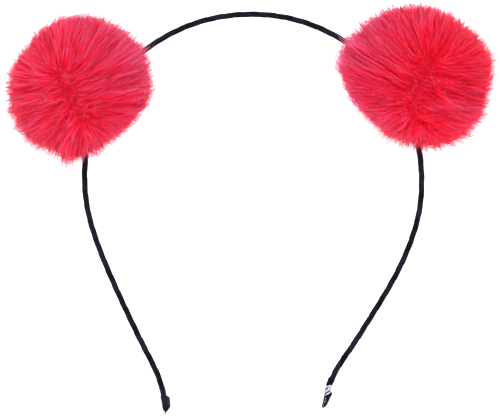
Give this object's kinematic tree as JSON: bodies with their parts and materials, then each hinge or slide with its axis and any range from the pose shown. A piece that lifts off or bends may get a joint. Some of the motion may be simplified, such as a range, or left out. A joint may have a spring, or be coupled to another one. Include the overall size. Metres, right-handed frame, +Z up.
{
  "type": "pompom headband",
  "caption": "Thin wire headband wound with black satin ribbon, with a large ball of crimson faux fur bound to each side of its crown.",
  "frame": {"origin": "on the surface it rests on, under the middle of its bounding box", "axes": "+X from the left fur ball to the right one, +Y from the tips towards the crown, +Z up out of the surface, through the front"},
  "size_m": [0.1956, 0.1586, 0.0569],
  "materials": {
    "fur": "long-pile faux fur, crimson, paler and pinker at the tips",
    "ribbon": "blue-black satin ribbon, wound",
    "wire": "drawn spring steel",
    "tape": "bright silvery film tape",
    "thread": "black sewing thread"
  },
  "bodies": {
    "root": {"band_wire": "wire", "band_wrap": "ribbon", "ribbon_fold_left": "ribbon", "tape_right": "tape", "ribbon_strip_right": "ribbon", "ribbon_cap_right": "ribbon", "pompom_left": "fur", "pompom_right": "fur", "pompom_tie_left": "thread", "pompom_tie_right": "thread"}
  },
  "joints": []
}
